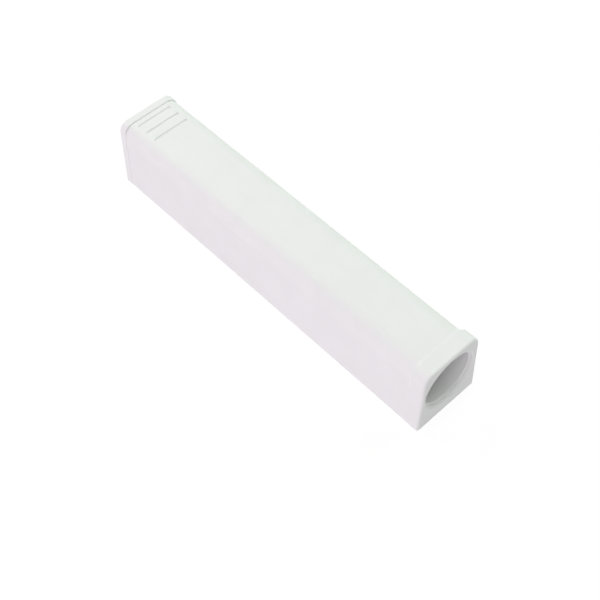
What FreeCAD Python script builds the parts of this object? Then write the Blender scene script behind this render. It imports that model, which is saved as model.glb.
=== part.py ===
import FreeCAD, Part
import Sketcher
import math
import os
import re

# A surface-mounted, in-line push-latch adapter for a cabinet door. A base strip with an end
# rim is screwed down, a slim moulded shell slides on to it over a dovetail, and a 10 mm latch
# cartridge slides into the shell's round mouth.
#
# Frame: +X towards the mouth, +Z up from the mounting surface, origin at the middle of the
# underside. All sizes are in millimetres. The cartridge's own pieces share an axis along X,
# and their local origin is the centre of the cartridge's nose.

SIZES = (
    ("housing_length", 84.0),
    ("housing_width", 15.0),
    ("housing_height", 15.7),
    ("crown_lean", 0.82),
    ("rim_crown", 2.25),
    ("rear_crown", 2.5),
    ("front_crown", 3.2),
    ("rim_length", 1.85),
    ("rim_round", 0.4),
    ("seam_width", 0.02),
    ("seam_round", 0.3),
    ("collar_length", 3.1),
    ("collar_swell", 0.18),
    ("collar_draft", 0.03),
    ("ramp_length", 0.75),
    ("mouth_round", 0.55),
    ("rear_base_step", 0.08),
    ("rear_crown_step", 0.13),
    ("rear_top_step", 0.18),
    ("front_base_step", 0.06),
    ("front_crown_step", 0.24),
    ("front_top_step", 0.13),
    ("axis_height", 8.95),
    ("bore_radius", 5.08),
    ("bore_depth", 76.0),
    ("seat_radius", 5.65),
    ("seat_depth", 10.0),
    ("mouth_radius", 6.0),
    ("mouth_depth", 0.6),
    ("mouth_chamfer", 0.35),
    ("ledge_chamfer", 0.2),
    ("front_wall", 4.0),
    ("channel_half", 5.3),
    ("channel_undercut", 0.6),
    ("channel_depth", 2.3),
    ("rail_gap", 0.1),
    ("plate_gap", 0.3),
    ("cell_start", 10.0),
    ("cell_length", 6.0),
    ("cell_pitch", 8.0),
    ("cell_count", 8.0),
    ("cell_inner", 3.0),
    ("cell_outer", 5.95),
    ("cell_shoulder", 5.75),
    ("cell_waist", 4.6),
    ("cell_height", 6.0),
    ("cell_waist_height", 4.6),
    ("cell_inner_height", 3.3),
    ("spigot_half", 4.4),
    ("spigot_height", 12.6),
    ("spigot_length", 3.2),
    ("spigot_gap", 0.15),
    ("screw_first", 37.0),
    ("screw_pitch", 32.0),
    ("screw_hole", 3.8),
    ("screw_sink", 7.4),
    ("mark_depth", 0.1),
    ("mark_first", 76.0),
    ("mark_pitch", 17.0),
    ("mark_count", 5.0),
    ("base_mark_radius", 1.1),
    ("base_mark_half", 3.4),
    ("rail_mark_radius", 0.6),
    ("rail_mark_half", 6.55),
    ("gate_height", 4.5),
    ("gate_radius", 1.8),
    ("gate_depth", 0.35),
    ("gate_stub_radius", 0.7),
    ("grip_first", 3.25),
    ("grip_pitch", 2.585),
    ("grip_count", 3.0),
    ("grip_groove", 0.56),
    ("grip_depth", 0.42),
    ("grip_width", 8.2),
    ("grip_round", 0.09),
    ("nose_setback", 8.5),
    ("sleeve_length", 64.0),
    ("sleeve_radius", 5.0),
    ("sleeve_inner", 4.1),
    ("flange_radius", 5.55),
    ("flange_length", 1.5),
    ("small_chamfer", 0.3),
    ("insert_radius", 4.05),
    ("plug_length", 4.0),
    ("snap_reach", 4.8),
    ("snap_size", 1.8),
    ("snap_gap", 0.15),
    ("bush_length", 4.0),
    ("rod_radius", 3.2),
    ("rod_gap", 0.08),
    ("rod_nose", 0.2),
    ("stroke", 38.0),
    ("piston_radius", 4.0),
    ("piston_end_gap", 1.0),
    ("spring_bore", 1.7),
    ("spring_room", 27.0),
    ("spring_radius", 1.25),
    ("spring_turns", 20.0),
    ("spring_wire", 0.2),
    ("guide_radius", 0.8),
    ("guide_seat", 2.0),
    ("guide_tip_gap", 2.0),
    ("fit_gap", 0.05),
    ("flat_height", 3.0),
    ("track_height", 2.2),
    ("track_half", 1.5),
    ("track_front_gap", 0.6),
    ("island_half", 0.5),
    ("island_front", 1.4),
    ("island_notch", 2.2),
    ("island_shoulder", 3.5),
    ("island_rear", 6.5),
    ("follower_arm", 14.0),
    ("follower_drop", 3.45),
    ("follower_wire", 0.3),
    ("follower_bend", 0.55),
    ("follower_tip", 1.1),
    ("follower_post", 1.85),
    ("follower_angle", 4.1),
    ("pivot_inset", 2.0),
    ("pivot_slot_half", 0.9),
    ("socket_radius", 1.5),
    ("socket_depth", 7.0),
    ("stem_length", 6.0),
    ("tip_radius", 3.9),
    ("tip_length", 2.1),
    ("tip_round", 0.35),
    ("magnet_radius", 2.5),
    ("magnet_length", 1.0),
)

# Lengths within this of each other count as equal when edges are picked, in mm.
CLOSE = 1e-4

doc = FreeCAD.newDocument("push_latch_adapter")
sheet = doc.addObject("Spreadsheet::Sheet", "sizes")
for row, (alias, number) in enumerate(SIZES, start=1):
    sheet.set(f"A{row}", alias)
    sheet.set(f"B{row}", str(number))
    sheet.setAlias(f"B{row}", alias)
doc.recompute()

ALIASES = {alias for alias, number in SIZES}
NODES = []


def formula(text):
    """Point each alias in a formula at the sheet."""
    return re.sub(r"[a-z_]+", lambda word: f"sizes.{word[0]}" if word[0] in ALIASES else word[0], text)


def bind(thing, target, text):
    thing.setExpression(target, formula(text))


def value(text):
    result = sheet.evalExpression(formula(text))
    return float(getattr(result, "Value", result))


def new_body(name):
    body = doc.addObject("PartDesign::Body", name)
    body.Label = name
    NODES.append(body)
    return body


def on_latch_axis(body, behind_nose="0"):
    """Put a cartridge piece's local origin on the latch axis, behind the cartridge's nose."""
    bind(body, "Placement.Base.x", f"housing_length / 2 - nose_setback - ({behind_nose})")
    bind(body, "Placement.Base.z", "axis_height")


def origin_part(body, role):
    return next(part for part in body.Origin.OriginFeatures if part.Role == role)


def new_sketch(body, name, role, offset=None):
    sketch = body.newObject("Sketcher::SketchObject", name)
    sketch.AttachmentSupport = (origin_part(body, role), [""])
    sketch.MapMode = "FlatFace"
    if offset is not None:
        bind(sketch, "AttachmentOffset.Base.z", offset)
    return sketch


def pin_point(sketch, geometry, point, across, up):
    """Tie a sketch point to two formulas, its distances from the sketch's origin."""
    for kind, text, axis in (("DistanceX", across, -2), ("DistanceY", up, -1)):
        if text == "0":
            sketch.addConstraint(Sketcher.Constraint("PointOnObject", geometry, point, axis))
            continue
        number = sketch.addConstraint(
            Sketcher.Constraint(kind, -1, 1, geometry, point, value(text)))
        bind(sketch, f"Constraints[{number}]", text)


def draw_outline(sketch, corners):
    """Draw a closed line through corners, each a pair of formulas."""
    first = sketch.GeometryCount
    count = len(corners)
    points = [FreeCAD.Vector(value(across), value(up), 0) for across, up in corners]
    for index in range(count):
        sketch.addGeometry(Part.LineSegment(points[index], points[(index + 1) % count]), False)
    for index, (across, up) in enumerate(corners):
        before = first + (index - 1) % count
        sketch.addConstraint(Sketcher.Constraint("Coincident", before, 2, first + index, 1))
        pin_point(sketch, first + index, 1, across, up)


def draw_circle(sketch, radius, across="0", up="0"):
    centre = FreeCAD.Vector(value(across), value(up), 0)
    circle = sketch.addGeometry(Part.Circle(centre, FreeCAD.Vector(0, 0, 1), value(radius)), False)
    pin_point(sketch, circle, 3, across, up)
    number = sketch.addConstraint(Sketcher.Constraint("Radius", circle, value(radius)))
    bind(sketch, f"Constraints[{number}]", radius)


def draw_crowned(sketch, base_half, crown_half, top, rounding):
    """Draw a section with a flat base, leaning sides and two rounded top corners."""
    base, crown, height, radius = (value(text) for text in (base_half, crown_half, top, rounding))
    lean = math.atan((base - crown) / height)
    reach = radius * math.tan((math.pi / 2 - lean) / 2)
    normal = FreeCAD.Vector(0, 0, 1)
    foot = FreeCAD.Vector(base, 0, 0)
    centre = FreeCAD.Vector(crown - reach, height - radius, 0)
    low = centre + FreeCAD.Vector(math.cos(lean), math.sin(lean), 0) * radius
    high = centre + FreeCAD.Vector(0, radius, 0)
    far_foot, far_centre, far_low, far_high = (
        FreeCAD.Vector(-point.x, point.y, 0) for point in (foot, centre, low, high))
    for piece in (
            Part.LineSegment(far_foot, foot),
            Part.LineSegment(foot, low),
            Part.ArcOfCircle(Part.Circle(centre, normal, radius), lean, math.pi / 2),
            Part.LineSegment(high, far_high),
            Part.ArcOfCircle(Part.Circle(far_centre, normal, radius), math.pi / 2, math.pi - lean),
            Part.LineSegment(far_low, far_foot)):
        sketch.addGeometry(piece, False)
    floor, side, arc, roof, far_arc, far_side = range(6)
    for rule in (
            ("Coincident", floor, 2, side, 1),
            ("Coincident", far_side, 2, floor, 1),
            ("Tangent", side, 2, arc, 1),
            ("Tangent", arc, 2, roof, 1),
            ("Tangent", roof, 2, far_arc, 1),
            ("Tangent", far_arc, 2, far_side, 1),
            ("Symmetric", floor, 1, floor, 2, -2),
            ("PointOnObject", floor, 2, -1),
            ("Symmetric", roof, 1, roof, 2, -2),
            ("Equal", arc, far_arc)):
        sketch.addConstraint(Sketcher.Constraint(*rule))
    for rule, text in (
            (("DistanceX", -1, 1, floor, 2, base), base_half),
            (("DistanceY", -1, 1, roof, 1, height), top),
            (("Radius", arc, radius), rounding),
            (("Angle", side, math.pi / 2 + lean), f"90deg + atan(({base_half} - ({crown_half})) / ({top}))")):
        number = sketch.addConstraint(Sketcher.Constraint(*rule))
        bind(sketch, f"Constraints[{number}]", text)


def draw_bent_wire(sketch, corners, bend):
    """Draw an open path through corners and round each inner corner."""
    points = [FreeCAD.Vector(value(across), value(up), 0) for across, up in corners]
    last = len(points) - 2
    for start, end in zip(points, points[1:]):
        sketch.addGeometry(Part.LineSegment(start, end), False)
    for index, (across, up) in enumerate(corners[:-1]):
        pin_point(sketch, index, 1, across, up)
        if index:
            sketch.addConstraint(Sketcher.Constraint("Coincident", index - 1, 2, index, 1))
    pin_point(sketch, last, 2, *corners[-1])
    for index in range(last):
        corner = points[index + 1]
        before = corner + (points[index] - corner).normalize() * value(bend)
        after = corner + (points[index + 2] - corner).normalize() * value(bend)
        sketch.fillet(index, index + 1, before, after, value(bend), True, True)
        arc = sketch.GeometryCount - 2
        number = sketch.addConstraint(Sketcher.Constraint("Radius", arc, value(bend)))
        bind(sketch, f"Constraints[{number}]", bend)


def solid_volume(body):
    return body.Shape.Volume if body.Tip else 0.0


def add_feature(body, kind, name, grows, **settings):
    """Add a feature with its settings, and see that it adds or removes material."""
    doc.recompute()
    before = solid_volume(body)
    feature = body.newObject(f"PartDesign::{kind}", name)
    formulas = settings.pop("formulas", {})
    for setting, content in settings.items():
        setattr(feature, setting, content)
    for target, text in formulas.items():
        bind(feature, target, text)
    body.Tip = feature
    doc.recompute()
    change = body.Shape.Volume - before
    if (change > 0) != grows or abs(change) < CLOSE:
        raise RuntimeError(f"{name} changes the volume of {body.Label} by {change}")
    return feature


def loft(body, name, start, end):
    return add_feature(body, "AdditiveLoft", name, True, Profile=start, Sections=[end], Ruled=True)


def pad(body, name, sketch, length, both_ways=False):
    return add_feature(body, "Pad", name, True, Profile=sketch,
                       Midplane=both_ways, formulas={"Length": length})


def pocket(body, name, sketch, depth, both_ways=False, backwards=False):
    return add_feature(body, "Pocket", name, False, Profile=sketch,
                       Midplane=both_ways, Reversed=backwards, formulas={"Length": depth})


def turn_solid(body, name, profile):
    """Revolve a profile of (along the axis, radius) corners about the local X axis."""
    sketch = new_sketch(body, f"{name}_profile", "XZ_Plane")
    draw_outline(sketch, profile)
    return add_feature(body, "Revolution", name, True, Profile=sketch,
                       ReferenceAxis=(origin_part(body, "X_Axis"), [""]), Angle=360)


def repeat_along_x(body, name, feature, pitch, count, grows):
    return add_feature(body, "LinearPattern", name, grows, Originals=[feature],
                       Direction=(origin_part(body, "X_Axis"), [""]),
                       formulas={"Length": f"{pitch} * ({count} - 1)", "Occurrences": count})


def edge_names(body, wanted):
    return [f"Edge{number}" for number, edge in enumerate(body.Shape.Edges, start=1) if wanted(edge)]


def round_edges(body, name, radius, wanted, grows=False):
    return add_feature(body, "Fillet", name, grows, Base=(body.Tip, edge_names(body, wanted)),
                       formulas={"Radius": radius})


def lies_across(edge, place):
    """True for an edge in the plane x = place, apart from the base edge and circles."""
    box = edge.BoundBox
    flat = abs(box.XMin - place) < CLOSE and abs(box.XMax - place) < CLOSE
    return flat and box.ZMax > CLOSE and not edge.Closed


def is_circle_at(edge, place, radius):
    """True for a circle about the latch's axis in the plane x = place."""
    box = edge.BoundBox
    return edge.Closed and abs(box.Center.x - place) < CLOSE and abs(box.YMax - radius) < CLOSE


def rectangle(left, right, low, high):
    return ((left, low), (right, low), (right, high), (left, high))


def dovetail(foot_half, top_half, top):
    return ((f"-({foot_half})", "0"), (foot_half, "0"), (top_half, top), (f"-({top_half})", top))


MOUTH = "housing_length / 2"
RIM_FACE = "rim_length - housing_length / 2"
SHELL_REAR = "rim_length + seam_width - housing_length / 2"
PLATE_TOP = "channel_depth - rail_gap"
PLUG_FRONT = "plug_length - sleeve_length"
PIVOT = "pivot_inset - sleeve_length"
TRACK_FRONT = "pivot_inset - sleeve_length + follower_arm"
PISTON_REAR = "plug_length + piston_end_gap - sleeve_length"
PISTON_FRONT = "-bush_length - stroke"


def shell_section(body, place, offset):
    """The shell's outline at one end of it, a small step inside the rim's."""
    sketch = new_sketch(body, f"{place}_section", "YZ_Plane", offset)
    draw_crowned(sketch, f"housing_width / 2 - {place}_base_step",
                 f"housing_width / 2 - crown_lean - {place}_crown_step",
                 f"housing_height - {place}_top_step", f"{place}_crown")
    return sketch


def collar_section(body, name, offset, draft):
    """The collar's outline: the rim's, but fuller at the upper corners, and drafted."""
    sketch = new_sketch(body, name, "YZ_Plane", offset)
    draw_crowned(sketch, f"housing_width / 2 - {draft}",
                 f"housing_width / 2 - crown_lean + collar_swell - {draft}",
                 f"housing_height - {draft}", "rim_crown")
    return sketch


def shell_outside(body):
    """The shell tapers slightly, then flares through a short ramp into the drafted collar."""
    rear = shell_section(body, "rear", SHELL_REAR)
    front = shell_section(body, "front", f"{MOUTH} - collar_length - ramp_length")
    collar = collar_section(body, "collar_section", f"{MOUTH} - collar_length", "collar_draft")
    face = collar_section(body, "mouth_face_section", MOUTH, "0")
    loft(body, "shell_block", rear, front)
    loft(body, "collar_ramp", front, collar)
    loft(body, "collar_flare", collar, face)


def shell_bore(body):
    """The stepped mouth, the recess for the cartridge's flange, and the long bore behind it."""
    for name, radius, depth in (("mouth_ledge", "mouth_radius", "mouth_depth"),
                                ("flange_seat", "seat_radius", "seat_depth"),
                                ("latch_bore", "bore_radius", "bore_depth")):
        sketch = new_sketch(body, f"{name}_circle", "YZ_Plane", MOUTH)
        draw_circle(sketch, radius, "0", "axis_height")
        pocket(body, name, sketch, depth)
    for name, place, radius, size in (
            ("mouth_bevel", MOUTH, "mouth_radius", "mouth_chamfer"),
            ("ledge_bevel", f"{MOUTH} - mouth_depth", "seat_radius", "ledge_chamfer")):
        rim = edge_names(body, lambda edge: is_circle_at(edge, value(place), value(radius)))
        add_feature(body, "Chamfer", name, False, Base=(body.Tip, rim), formulas={"Size": size})


def shell_underside(body):
    """The dovetail channel, the rear pocket for the base's spigot, and the cored-out cells."""
    channel = new_sketch(body, "channel_section", "YZ_Plane", f"{MOUTH} - front_wall")
    draw_outline(channel, dovetail("channel_half", "channel_half + channel_undercut", "channel_depth"))
    pocket(body, "base_channel", channel, "housing_length")
    cavity = new_sketch(body, "spigot_pocket_section", "YZ_Plane", f"{SHELL_REAR} + spigot_length")
    draw_outline(cavity, rectangle("-spigot_half - spigot_gap", "spigot_half + spigot_gap",
                                   PLATE_TOP, "spigot_height + spigot_gap"))
    pocket(body, "spigot_pocket", cavity, "housing_length")
    cells = new_sketch(body, "cell_section", "YZ_Plane", f"cell_start + cell_length - {MOUTH}")
    for side in ("", "-"):
        draw_outline(cells, [(f"{side}{across}", up) for across, up in (
            ("cell_inner", PLATE_TOP), ("cell_outer", PLATE_TOP), ("cell_shoulder", "cell_height"),
            ("cell_waist", "cell_waist_height"), ("cell_inner", "cell_inner_height"))])
    cell = pocket(body, "weight_cell", cells, "cell_length")
    repeat_along_x(body, "weight_cells", cell, "cell_pitch", "cell_count", False)


def shell_grips(body):
    """Three shallow thumb grooves across the top, with sloping walls and rounded bottoms."""
    middle = f"grip_first - {MOUTH}"
    top = "housing_height - rear_top_step"
    half = "grip_groove / 2"
    groove = new_sketch(body, "grip_groove_section", "XZ_Plane")
    draw_outline(groove, ((middle, f"{top} - grip_depth"), (f"{middle} + {half}", top),
                          (f"{middle} + {half}", f"{top} + grip_depth"),
                          (f"{middle} - {half}", f"{top} + grip_depth"), (f"{middle} - {half}", top)))
    first = pocket(body, "grip_groove", groove, "grip_width", both_ways=True)
    repeat_along_x(body, "grip_grooves", first, "grip_pitch", "grip_count", False)
    bottom = value(f"{top} - grip_depth")
    round_edges(body, "grip_bottoms", "grip_round", lambda edge: (
        abs(edge.BoundBox.ZMin - bottom) < CLOSE and abs(edge.BoundBox.ZMax - bottom) < CLOSE),
                grows=True)


def ejector_marks(body, radius, half):
    """Shallow round witness marks in the underside, in pairs along its length."""
    marks = new_sketch(body, "ejector_mark_circles", "XY_Plane")
    for side in ("", "-"):
        draw_circle(marks, radius, f"{MOUTH} - mark_first", f"{side}{half}")
    first = pocket(body, "ejector_mark", marks, "mark_depth", backwards=True)
    repeat_along_x(body, "ejector_marks", first, "mark_pitch", "mark_count", False)


def housing_shell():
    body = new_body("housing_shell")
    shell_outside(body)
    shell_grips(body)
    shell_bore(body)
    shell_underside(body)
    ejector_marks(body, "rail_mark_radius", "rail_mark_half")
    round_edges(body, "mouth_edge", "mouth_round", lambda edge: lies_across(edge, value(MOUTH)))


def mounting_base():
    body = new_body("mounting_base")
    rim = new_sketch(body, "end_rim_section", "YZ_Plane", f"-{MOUTH}")
    draw_crowned(rim, "housing_width / 2", "housing_width / 2 - crown_lean",
                 "housing_height", "rim_crown")
    pad(body, "end_rim", rim, "rim_length")
    round_edges(body, "end_rim_back", "rim_round", lambda edge: lies_across(edge, -value(MOUTH)))
    round_edges(body, "end_rim_front", "seam_round", lambda edge: lies_across(edge, value(RIM_FACE)))
    plate = new_sketch(body, "plate_section", "YZ_Plane", RIM_FACE)
    draw_outline(plate, dovetail("channel_half - rail_gap",
                                 "channel_half + channel_undercut - rail_gap", PLATE_TOP))
    pad(body, "base_plate", plate, "housing_length - rim_length - front_wall - plate_gap")
    spigot = new_sketch(body, "spigot_section", "YZ_Plane", RIM_FACE)
    draw_outline(spigot, rectangle("-spigot_half", "spigot_half", "0", "spigot_height"))
    pad(body, "spigot", spigot, "spigot_length")
    screws = new_sketch(body, "screw_centres", "XY_Plane", PLATE_TOP)
    for place in ("screw_first", "screw_first + screw_pitch"):
        draw_circle(screws, "screw_hole / 2", f"{MOUTH} - ({place})", "0")
    doc.recompute()
    add_feature(body, "Hole", "screw_holes", False, Profile=screws, DepthType="ThroughAll",
                HoleCutType="Countersink", HoleCutCustomValues=True, HoleCutCountersinkAngle=90,
                formulas={"Diameter": "screw_hole", "HoleCutDiameter": "screw_sink"})
    ejector_marks(body, "base_mark_radius", "base_mark_half")
    gate = new_sketch(body, "gate_circles", "YZ_Plane", f"-{MOUTH}")
    draw_circle(gate, "gate_radius", "0", "gate_height")
    draw_circle(gate, "gate_stub_radius", "0", "gate_height")
    pocket(body, "gate_recess", gate, "gate_depth", backwards=True)


def cartridge_sleeve():
    body = new_body("cartridge_sleeve")
    on_latch_axis(body)
    turn_solid(body, "sleeve_tube", (
        ("0", "sleeve_inner"), ("0", "flange_radius - small_chamfer"),
        ("-small_chamfer", "flange_radius"), ("-flange_length", "flange_radius"),
        ("-flange_length", "sleeve_radius"), ("small_chamfer - sleeve_length", "sleeve_radius"),
        ("-sleeve_length", "sleeve_radius - small_chamfer"), ("-sleeve_length", "sleeve_inner")))
    windows = new_sketch(body, "snap_window_section", "XZ_Plane")
    draw_outline(windows, snap_outline("snap_size / 2"))
    pocket(body, "snap_windows", windows, "sleeve_radius * 3", both_ways=True)


def snap_outline(half):
    """A square on the plug's mid length, where its two snaps meet the sleeve's windows."""
    middle = "plug_length / 2 - sleeve_length"
    return rectangle(f"{middle} - ({half})", f"{middle} + ({half})", f"-({half})", half)


def cartridge_end_plug():
    body = new_body("cartridge_end_plug")
    on_latch_axis(body)
    turn_solid(body, "plug_disc", rectangle("-sleeve_length", PLUG_FRONT, "0", "insert_radius"))
    snaps = new_sketch(body, "snap_section", "XZ_Plane")
    draw_outline(snaps, snap_outline("snap_size / 2 - snap_gap"))
    pad(body, "snaps", snaps, "snap_reach * 2", both_ways=True)
    slot = new_sketch(body, "pivot_slot_section", "XZ_Plane")
    draw_outline(slot, rectangle(f"{PIVOT} - follower_wire - fit_gap", PLUG_FRONT,
                                 "-insert_radius", "-flat_height"))
    pocket(body, "pivot_slot", slot, "pivot_slot_half * 2", both_ways=True)
    post = new_sketch(body, "pivot_hole_circle", "XY_Plane", "-flat_height")
    draw_circle(post, "follower_wire + fit_gap", PIVOT, "0")
    pocket(body, "pivot_hole", post, "follower_post - follower_drop + flat_height + fit_gap",
           backwards=True)
    seat = new_sketch(body, "guide_seat_circle", "YZ_Plane", PLUG_FRONT)
    draw_circle(seat, "guide_radius")
    pocket(body, "guide_seat", seat, "guide_seat")


def nose_bush():
    body = new_body("nose_bush")
    on_latch_axis(body)
    turn_solid(body, "bush_ring", (
        ("-bush_length", "rod_radius + rod_gap"), ("-bush_length", "insert_radius"),
        ("0", "insert_radius"), ("0", "rod_radius + rod_gap + small_chamfer"),
        ("-small_chamfer", "rod_radius + rod_gap")))


def spring_guide_pin():
    body = new_body("spring_guide_pin")
    on_latch_axis(body)
    rear = f"{PLUG_FRONT} - guide_seat"
    front = f"{PISTON_REAR} + spring_room - guide_tip_gap"
    turn_solid(body, "guide_pin", (
        (rear, "0"), (rear, "guide_radius"), (f"{front} - small_chamfer", "guide_radius"),
        (front, "guide_radius - small_chamfer"), (front, "0")))


def ejector_spring():
    body = new_body("ejector_spring")
    on_latch_axis(body)
    length = f"({PISTON_REAR} + spring_room - spring_wire - ({PLUG_FRONT}) - spring_wire)"
    wire = new_sketch(body, "spring_wire_circle", "XZ_Plane")
    draw_circle(wire, "spring_wire", f"{PLUG_FRONT} + spring_wire", "spring_radius")
    add_feature(body, "AdditiveHelix", "spring_coil", True, Profile=wire, Mode="pitch-height-angle",
                ReferenceAxis=(origin_part(body, "X_Axis"), [""]),
                formulas={"Height": length, "Pitch": f"{length} / spring_turns"})


def plunger_rod():
    body = new_body("plunger_rod")
    on_latch_axis(body)
    turn_solid(body, "rod_and_piston", (
        (PISTON_REAR, "0"), (PISTON_REAR, "piston_radius"), (PISTON_FRONT, "piston_radius"),
        (PISTON_FRONT, "rod_radius"), ("rod_nose", "rod_radius"), ("rod_nose", "0")))
    bore = new_sketch(body, "spring_bore_circle", "YZ_Plane", f"{PISTON_REAR} + spring_room")
    draw_circle(bore, "spring_bore")
    pocket(body, "spring_bore", bore, "spring_room")
    socket = new_sketch(body, "tip_socket_circle", "YZ_Plane", "rod_nose")
    draw_circle(socket, "socket_radius")
    pocket(body, "tip_socket", socket, "socket_depth")
    flat = new_sketch(body, "cam_flat_section", "XZ_Plane")
    draw_outline(flat, rectangle(PISTON_REAR, PISTON_FRONT, "-piston_radius", "-flat_height"))
    pocket(body, "cam_flat", flat, "piston_radius * 2", both_ways=True)
    cam_track(body)


def cam_track(body):
    """A trough open at the piston's rear, round a heart-shaped island with a notch that latches."""
    track = new_sketch(body, "cam_track_section", "XY_Plane", "-track_height")
    draw_outline(track, rectangle(PISTON_REAR, f"{TRACK_FRONT} + track_front_gap",
                                  "-track_half", "track_half"))
    draw_outline(track, (
        (f"{TRACK_FRONT} - island_rear", "0"), (f"{TRACK_FRONT} - island_shoulder", "-island_half"),
        (f"{TRACK_FRONT} - island_front", "-island_half"), (f"{TRACK_FRONT} - island_notch", "0"),
        (f"{TRACK_FRONT} - island_front", "island_half"),
        (f"{TRACK_FRONT} - island_shoulder", "island_half")))
    pocket(body, "cam_track", track, "piston_radius")


def cam_follower():
    """A bent wire: a post in the end plug, an arm along the piston, and a pin in the track."""
    body = new_body("cam_follower")
    body.Placement = FreeCAD.Placement(FreeCAD.Vector(), FreeCAD.Rotation(FreeCAD.Vector(0, 0, 1), 1))
    bind(body, "Placement.Base.x", f"{MOUTH} - nose_setback + {PIVOT}")
    bind(body, "Placement.Base.z", "axis_height - follower_drop")
    bind(body, "Placement.Rotation.Angle", "follower_angle")
    path = new_sketch(body, "wire_path", "XZ_Plane")
    draw_bent_wire(path, (("0", "follower_post"), ("0", "0"), ("follower_arm", "0"),
                          ("follower_arm", "follower_tip")), "follower_bend")
    section = new_sketch(body, "wire_circle", "XY_Plane", "follower_post")
    draw_circle(section, "follower_wire")
    add_feature(body, "AdditivePipe", "bent_wire", True, Profile=section, Spine=(path, []))


def tip_holder():
    body = new_body("tip_holder")
    on_latch_axis(body)
    face = "rod_nose + tip_length"
    recess = "magnet_radius + fit_gap"
    stem = "socket_radius - fit_gap"
    turn_solid(body, "tip_head", (
        ("rod_nose - stem_length", "0"), ("rod_nose - stem_length", stem), ("rod_nose", stem),
        ("rod_nose", "tip_radius"), (face, "tip_radius"), (face, recess),
        (f"{face} - magnet_length", recess), (f"{face} - magnet_length", "0")))
    rim = value(face) - CLOSE
    round_edges(body, "tip_edge", "tip_round", lambda edge: (
        edge.Closed and edge.BoundBox.YMax > value("tip_radius") - CLOSE
        and edge.BoundBox.XMin - body.Placement.Base.x > rim))


def tip_magnet():
    body = new_body("tip_magnet")
    on_latch_axis(body)
    face = "rod_nose + tip_length"
    turn_solid(body, "magnet_disc", (
        (f"{face} - magnet_length", "0"), (f"{face} - magnet_length", "magnet_radius"),
        (f"{face} - small_chamfer", "magnet_radius"), (face, "magnet_radius - small_chamfer"),
        (face, "0")))


def check_document():
    for thing in doc.Objects:
        if {"Invalid", "Error"} & set(thing.State):
            raise RuntimeError(f"{thing.Name} failed: {thing.State}")
    for body in NODES:
        if body.Shape.isNull() or not body.Shape.isValid() or len(body.Shape.Solids) != 1:
            raise RuntimeError(f"{body.Label} is not one valid solid")


def write_parts():
    os.makedirs("parts", exist_ok=True)
    for body in NODES:
        body.Shape.exportStep(f"parts/{body.Label}.step")


for build in (mounting_base, housing_shell, cartridge_sleeve, cartridge_end_plug, nose_bush,
              spring_guide_pin, ejector_spring, plunger_rod, cam_follower, tip_holder, tip_magnet):
    build()
doc.recompute()
check_document()
write_parts()
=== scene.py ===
import math

import bpy
from mathutils import Matrix, Vector


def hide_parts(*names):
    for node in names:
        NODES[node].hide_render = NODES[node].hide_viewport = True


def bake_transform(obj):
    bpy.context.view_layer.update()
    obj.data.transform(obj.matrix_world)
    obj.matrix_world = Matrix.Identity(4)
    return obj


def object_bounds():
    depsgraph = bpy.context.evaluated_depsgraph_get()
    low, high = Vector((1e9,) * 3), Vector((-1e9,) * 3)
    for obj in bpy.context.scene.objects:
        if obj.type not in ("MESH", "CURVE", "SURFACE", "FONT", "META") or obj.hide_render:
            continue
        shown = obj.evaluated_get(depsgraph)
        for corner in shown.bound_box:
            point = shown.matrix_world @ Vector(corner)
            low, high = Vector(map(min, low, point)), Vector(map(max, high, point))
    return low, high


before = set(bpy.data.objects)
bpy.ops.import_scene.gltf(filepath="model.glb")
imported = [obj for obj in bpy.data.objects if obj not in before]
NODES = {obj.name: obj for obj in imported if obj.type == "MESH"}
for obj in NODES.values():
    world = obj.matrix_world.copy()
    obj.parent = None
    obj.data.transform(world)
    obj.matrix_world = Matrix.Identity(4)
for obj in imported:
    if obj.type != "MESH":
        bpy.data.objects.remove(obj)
CAD_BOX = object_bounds()
MM = 0.001

# The camera looks down on the housing from the mouth's end and the -Y side. Azimuth 0 is
# straight in front of the long side at -Y, and 90 degrees is straight in front of the mouth.
CAMERA_AZIMUTH = math.radians(48.62)
CAMERA_ELEVATION = math.radians(54.25)
CAMERA_ROLL = math.radians(-2.18)
CAMERA_DISTANCE = 216.2 * MM
AIM_RIGHT = 2.43 * MM
AIM_UP = -5.31 * MM
CAMERA_LENS = 65.72
SENSOR_WIDTH = 36.0
NEAREST_SEEN = 5 * MM
FARTHEST_SEEN = 50.0

FLOOR_SIZE = 40.0
# The floor lies a hair under the object, so the two don't share a plane.
FLOOR_GAP = 0.02 * MM
# The floor is dark but glows, so it shows white without bouncing much of the softboxes' light.
FLOOR_COLOUR = 0.2
FLOOR_GLOW = 0.83
# Each softbox: the azimuth and elevation that it shines from, in degrees, its colour and power.
# The two left ones are slightly lilac, and the others slightly green.
SOFTBOXES = {
    "softbox_low_left": (20, 18, (1.0, 0.79, 1.0), 0.48),
    "softbox_left": (-16, 30, (1.0, 0.79, 1.0), 0.56),
    "softbox_front": (33, 64, (0.94, 1.0, 0.94), 1.1),
    "softbox_back": (-90, 40, (0.96, 1.0, 0.92), 1.0),
    "softbox_right": (180, 40, (0.93, 1.0, 0.945), 1.4),
}
SOFTBOX_DISTANCE = 0.5
SOFTBOX_SIZE = 0.44

WHITE = (0.82, 0.825, 0.82)


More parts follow.
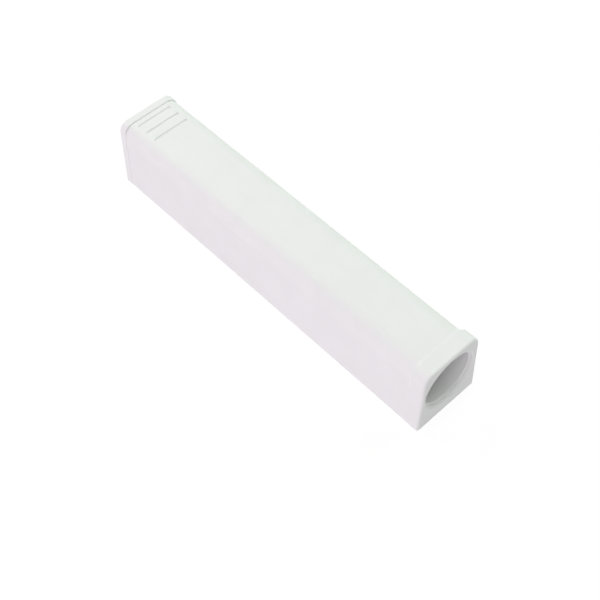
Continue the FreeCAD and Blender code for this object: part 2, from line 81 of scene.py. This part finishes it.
def add_camera():
    """The main view: back points from the object to the camera, level lies in the floor."""
    back = Vector((math.sin(CAMERA_AZIMUTH) * math.cos(CAMERA_ELEVATION),
                   -math.cos(CAMERA_AZIMUTH) * math.cos(CAMERA_ELEVATION),
                   math.sin(CAMERA_ELEVATION)))
    level = Vector((math.cos(CAMERA_AZIMUTH), math.sin(CAMERA_AZIMUTH), 0))
    rise = back.cross(level)
    right = level * math.cos(CAMERA_ROLL) + rise * math.sin(CAMERA_ROLL)
    up = rise * math.cos(CAMERA_ROLL) - level * math.sin(CAMERA_ROLL)
    camera = bpy.data.objects.new("camera", bpy.data.cameras.new("camera"))
    camera.data.lens = CAMERA_LENS
    camera.data.sensor_width = SENSOR_WIDTH
    camera.data.clip_start = NEAREST_SEEN
    camera.data.clip_end = FARTHEST_SEEN
    turn = Matrix((right, up, back)).transposed().to_4x4()
    camera.matrix_world = Matrix.Translation(
        right * AIM_RIGHT + up * AIM_UP + back * CAMERA_DISTANCE) @ turn
    bpy.context.scene.collection.objects.link(camera)
    bpy.context.scene.camera = camera


def add_softbox(name, azimuth, elevation, colour, power):
    """A round softbox that faces the object."""
    around, over = math.radians(azimuth), math.radians(elevation)
    towards = Vector((math.sin(around) * math.cos(over), -math.cos(around) * math.cos(over),
                      math.sin(over)))
    light = bpy.data.lights.new(name, "AREA")
    light.shape = "DISK"
    light.size = SOFTBOX_SIZE
    light.color = colour
    light.energy = power
    lamp = bpy.data.objects.new(name, light)
    lamp.location = towards * SOFTBOX_DISTANCE
    lamp.rotation_euler = towards.to_track_quat("Z", "Y").to_euler()
    bpy.context.scene.collection.objects.link(lamp)


class Finish:
    """A material under construction. Each method adds one node and returns its output."""

    def __init__(self, name, colour, roughness, metallic=0.0):
        self.material = bpy.data.materials.new(name)
        self.material.use_nodes = True
        self.tree = self.material.node_tree
        self.shader = self.tree.nodes["Principled BSDF"]
        self.shader.inputs["Base Color"].default_value = (*colour, 1)
        self.shader.inputs["Roughness"].default_value = roughness
        self.shader.inputs["Metallic"].default_value = metallic
        self.place = self.tree.nodes.new("ShaderNodeTexCoord").outputs["Object"]

    def feed(self, node, **inputs):
        """Set or link a node's inputs, named with underscores for spaces."""
        for name, content in inputs.items():
            socket = node.inputs[name.replace("_", " ")]
            if isinstance(content, bpy.types.NodeSocket):
                self.tree.links.new(content, socket)
            else:
                socket.default_value = content

    def stretch(self, x, y, z):
        """The place with one length unit made x, y and z times as long along each axis."""
        node = self.tree.nodes.new("ShaderNodeMapping")
        self.feed(node, Vector=self.place, Scale=(1 / x, 1 / y, 1 / z))
        return node.outputs["Vector"]

    def noise(self, size, detail=3.0, place=None):
        """Cloudy noise from 0 to 1 whose blobs are about size across."""
        node = self.tree.nodes.new("ShaderNodeTexNoise")
        self.feed(node, Vector=place or self.place, Scale=1 / size, Detail=detail)
        return node.outputs["Fac"]

    def cells(self, size, place=None):
        """Distance, in cells, to the nearest of points scattered about size apart."""
        node = self.tree.nodes.new("ShaderNodeTexVoronoi")
        self.feed(node, Vector=place or self.place, Scale=1 / size)
        return node.outputs["Distance"]

    def spread(self, source, start, end, low, high):
        """Map source from start..end to low..high, easing in and out, held at both ends."""
        node = self.tree.nodes.new("ShaderNodeMapRange")
        node.interpolation_type = "SMOOTHSTEP"
        self.feed(node, Value=source, From_Min=start, From_Max=end, To_Min=low, To_Max=high)
        return node.outputs["Result"]

    def combine(self, operation, first, second):
        """Work out one number from two with a math node."""
        node = self.tree.nodes.new("ShaderNodeMath")
        node.operation = operation
        self.tree.links.new(first, node.inputs[0])
        self.tree.links.new(second, node.inputs[1])
        return node.outputs["Value"]

    def sum(self, first, second):
        return self.combine("ADD", first, second)

    def product(self, first, second):
        return self.combine("MULTIPLY", first, second)

    def blend(self, amount, first, second):
        """The colour that goes from first to second as amount goes from 0 to 1."""
        node = self.tree.nodes.new("ShaderNodeMix")
        node.data_type = "RGBA"
        amount_in, first_in, second_in = (node.inputs[index] for index in (0, 6, 7))
        self.tree.links.new(amount, amount_in)
        for socket, content in ((first_in, first), (second_in, second)):
            if isinstance(content, bpy.types.NodeSocket):
                self.tree.links.new(content, socket)
            else:
                socket.default_value = (*content, 1)
        return node.outputs[2]

    def relief(self, height, depth, under=None):
        """A bumped normal: height from 0 to 1 stands for depth, on top of the normal under it."""
        node = self.tree.nodes.new("ShaderNodeBump")
        self.feed(node, Height=height, Distance=depth)
        if under:
            self.tree.links.new(under, node.inputs["Normal"])
        return node.outputs["Normal"]

    def edge_wear_and_highlight(self, radius):
        """From 0 on flat ground to 1 on edges sharper than about radius."""
        bevel = self.tree.nodes.new("ShaderNodeBevel")
        bevel.inputs["Radius"].default_value = radius
        geometry = self.tree.nodes.new("ShaderNodeNewGeometry")
        agreement = self.tree.nodes.new("ShaderNodeVectorMath")
        agreement.operation = "DOT_PRODUCT"
        self.tree.links.new(bevel.outputs["Normal"], agreement.inputs[0])
        self.tree.links.new(geometry.outputs["Normal"], agreement.inputs[1])
        return self.spread(agreement.outputs["Value"], 1.0, 0.85, 0.0, 1.0)


def shade(colour, factor):
    """The colour made lighter or darker, with no channel above 1."""
    return tuple(min(1.0, channel * factor) for channel in colour)


def moulded_plastic(name, colour, roughness, grain, flecks=0.0, scuffs=0.0):
    """Injection-moulded plastic: cloudy pigment, flow lines along X, a spark-eroded grain."""
    finish = Finish(name, colour, roughness)
    clouds = finish.spread(finish.noise(7 * MM, 4.0), 0.3, 0.7, 0, 1)
    streaks = finish.noise(1.2 * MM, 3.0, finish.stretch(9, 1, 1))
    edges = finish.edge_wear_and_highlight(0.25 * MM)
    tone = finish.blend(clouds, shade(colour, 0.98), shade(colour, 1.008))
    tone = finish.blend(finish.spread(streaks, 0.6, 0.75, 0, 1), tone, shade(colour, 0.975))
    gloss = finish.spread(clouds, 0, 1, roughness - 0.05, roughness + 0.05)
    gloss = finish.sum(gloss, finish.spread(edges, 0, 1, 0, -0.15))
    if scuffs:
        hairlines = finish.noise(0.22 * MM, 2.0, finish.stretch(60, 1, 1))
        scratches = finish.spread(hairlines, 0.64, 0.74, 0, 1)
        patches = finish.spread(finish.noise(11 * MM, 2.0), 0.48, 0.65, 0, scuffs)
        rubbed = finish.product(scratches, patches)
        tone = finish.blend(rubbed, tone, shade(colour, 0.93))
        gloss = finish.sum(gloss, finish.spread(rubbed, 0, 1, 0, 0.15))
    if flecks:
        fibres = finish.cells(0.5 * MM, finish.stretch(2.5, 1, 1))
        tone = finish.blend(finish.spread(fibres, 0.05, 0.16, flecks, 0), tone, shade(colour, 1.7))
    normal = finish.relief(streaks, 0.008 * MM)
    normal = finish.relief(finish.noise(grain, 2.0), 0.05 * grain, normal)
    finish.feed(finish.shader, Base_Color=tone, Roughness=gloss, Normal=normal)
    return finish.material


def drawn_wire(name, colour, roughness):
    """Drawn spring steel: die lines, a thin film of oil that varies the tint."""
    finish = Finish(name, colour, roughness, metallic=1.0)
    lines = finish.noise(0.05 * MM, 2.0, finish.stretch(8, 1, 1))
    oil = finish.noise(1.8 * MM, 3.0)
    straw = shade((1.0, 0.9, 0.76), colour[0])
    tone = finish.blend(finish.spread(oil, 0.35, 0.7, 0, 1), colour, straw)
    gloss = finish.spread(lines, 0.3, 0.7, roughness - 0.08, roughness + 0.12)
    finish.feed(finish.shader, Base_Color=tone, Roughness=gloss,
                Normal=finish.relief(lines, 0.004 * MM))
    return finish.material


def plated_disc(name, colour, roughness):
    """Nickel plate: fine orange peel, small pits, and a painted highlight that makes the edges
    brighter.
    """
    finish = Finish(name, colour, roughness, metallic=1.0)
    peel = finish.noise(0.35 * MM, 2.0)
    pits = finish.spread(finish.cells(0.6 * MM), 0.04, 0.1, 0, 1)
    stain = finish.spread(finish.noise(1.5 * MM, 4.0), 0.4, 0.7, 0, 1)
    tone = finish.blend(stain, colour, shade(colour, 0.86))
    # Painted highlight: the plate's edges are painted brighter than the rest.
    tone = finish.blend(finish.edge_wear_and_highlight(0.15 * MM), tone, shade(colour, 1.2))
    gloss = finish.spread(stain, 0, 1, roughness, roughness + 0.14)
    normal = finish.relief(peel, 0.008 * MM)
    normal = finish.relief(pits, 0.01 * MM, normal)
    finish.feed(finish.shader, Base_Color=tone, Roughness=gloss, Normal=normal)
    return finish.material


def add_stage():
    """The floor, the softboxes, and a pale sky that is seen and mirrored but lights nothing."""
    scene = bpy.context.scene
    scene.view_settings.view_transform = "Standard"
    world = bpy.data.worlds.new("studio")
    scene.world = world
    world.use_nodes = True
    sky = world.node_tree.nodes["Background"]
    sky.inputs["Color"].default_value = (1, 1, 1, 1)
    sky.inputs["Strength"].default_value = FLOOR_GLOW
    for rays in ("diffuse", "transmission", "scatter"):
        setattr(world.cycles_visibility, rays, False)
    bpy.ops.mesh.primitive_grid_add(x_subdivisions=2, y_subdivisions=2, size=FLOOR_SIZE,
                                    location=(0, 0, CAD_BOX[0].z - FLOOR_GAP))
    floor = bpy.context.object
    floor.name = "floor"
    finish = Finish("pale_floor", (FLOOR_COLOUR,) * 3, 0.9)
    finish.shader.inputs["Specular IOR Level"].default_value = 0.0
    finish.shader.inputs["Emission Color"].default_value = (1, 1, 1, 1)
    finish.shader.inputs["Emission Strength"].default_value = FLOOR_GLOW
    floor.data.materials.append(finish.material)
    for name, (azimuth, elevation, colour, power) in SOFTBOXES.items():
        add_softbox(name, azimuth, elevation, colour, power)


def add_stretching_spring():
    """Swap the rigid spring for a plain copy of its mesh, and hide the original."""
    coil = bpy.data.objects.new("ejector_spring_coil", NODES["ejector_spring"].data.copy())
    bpy.context.scene.collection.objects.link(coil)
    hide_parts("ejector_spring")
    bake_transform(coil)


add_camera()
add_stage()

shell_plastic = moulded_plastic("shell_plastic", WHITE, 0.6, 0.16 * MM, scuffs=0.7)
base_plastic = moulded_plastic("base_plastic", shade(WHITE, 1.005), 0.62, 0.2 * MM, scuffs=0.4)
sleeve_plastic = moulded_plastic("sleeve_plastic", (0.58, 0.59, 0.6), 0.3, 0.3 * MM)
insert_plastic = moulded_plastic("insert_plastic", (0.33, 0.335, 0.34), 0.5, 0.14 * MM, flecks=0.5)
rod_plastic = moulded_plastic("rod_plastic", (0.68, 0.68, 0.66), 0.32, 0.3 * MM)
tip_plastic = moulded_plastic("tip_plastic", (0.3, 0.305, 0.31), 0.52, 0.14 * MM, flecks=0.3)
steel_wire = drawn_wire("steel_wire", (0.56, 0.55, 0.53), 0.28)
magnet_plating = plated_disc("magnet_plating", (0.66, 0.64, 0.6), 0.16)

FINISHES = {
    "housing_shell": shell_plastic,
    "mounting_base": base_plastic,
    "cartridge_sleeve": sleeve_plastic,
    "cartridge_end_plug": insert_plastic,
    "nose_bush": insert_plastic,
    "spring_guide_pin": steel_wire,
    "ejector_spring": steel_wire,
    "plunger_rod": rod_plastic,
    "cam_follower": steel_wire,
    "tip_holder": tip_plastic,
    "tip_magnet": magnet_plating,
}
for name, node in NODES.items():
    node.data.materials.clear()
    node.data.materials.append(FINISHES[name])

add_stretching_spring()
